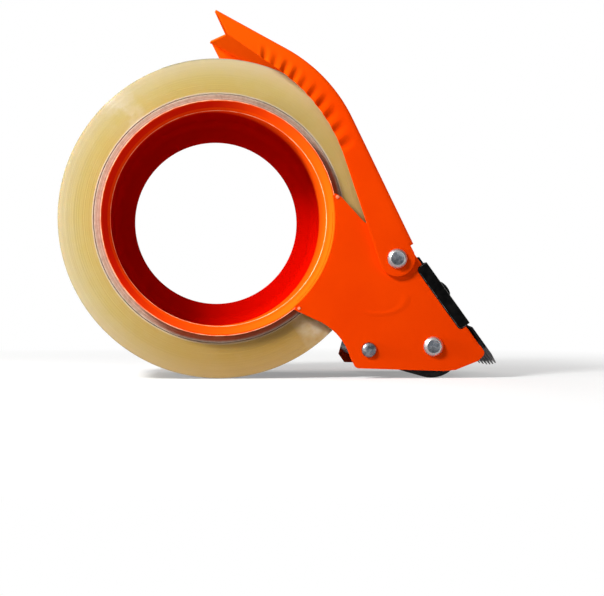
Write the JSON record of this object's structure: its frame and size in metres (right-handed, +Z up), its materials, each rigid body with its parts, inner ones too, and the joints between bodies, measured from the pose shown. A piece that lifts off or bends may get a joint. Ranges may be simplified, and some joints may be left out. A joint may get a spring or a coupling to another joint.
{
  "type": "packing tape dispenser",
  "caption": "Hand-held packing-tape dispenser: pressed-steel frame and drum carrying a tape roll, hinged hood, toothed blade under a screwed clamp, and a press roller.",
  "frame": {"origin": "on the drum's axis, at the middle of the tape's width", "axes": "+X towards the blade, +Z up with the roll and the press roller on the table, -Y the side the drum opens to"},
  "size_m": [0.1473, 0.0598, 0.1213],
  "materials": {
    "orange_paint": "glossy orange enamel",
    "blade_steel": "darkened blade steel with ground teeth",
    "black_steel": "black oxide, satin",
    "zinc_steel": "bright zinc plate",
    "black_rubber": "matte black rubber",
    "white_nylon": "natural nylon",
    "cardboard": "grey-brown wound board",
    "clear_tape": "clear amber film seen on edge"
  },
  "bodies": {
    "frame": {"frame": "orange_paint", "roll_drum": "orange_paint", "drum_welds": "orange_paint", "blade": "blade_steel", "blade_clamp": "black_steel", "clamp_screws": "black_steel", "clamp_nuts": "zinc_steel", "pivot_rivets": "zinc_steel", "pivot_washers": "zinc_steel", "press_axle": "zinc_steel", "guide_pin": "zinc_steel"},
    "hood": {"hood": "orange_paint"},
    "roll": {"tape_core": "cardboard", "tape_roll": "clear_tape"},
    "press_roller": {"press_tube": "zinc_steel", "press_sleeve": "black_rubber", "press_bushes": "white_nylon"},
    "guide_roller": {"guide_roller": "zinc_steel"}
  },
  "joints": [
    {"name": "hood_hinge", "type": "hinge", "parent": "frame", "child": "hood", "pos_m": [0.0588, 0, -0.0132], "axis": [0, 1, 0], "range_deg": [0, 28]},
    {"name": "roll_spin", "type": "hinge", "parent": "frame", "child": "roll", "pos_m": [0, 0, 0], "axis": [0, 1, 0], "continuous": true},
    {"name": "press_roller_spin", "type": "hinge", "parent": "frame", "child": "press_roller", "pos_m": [0.0711, 0, -0.0424], "axis": [0, 1, 0], "continuous": true},
    {"name": "guide_roller_spin", "type": "hinge", "parent": "frame", "child": "guide_roller", "pos_m": [0.0495, 0, -0.0435], "axis": [0, 1, 0], "continuous": true}
  ]
}
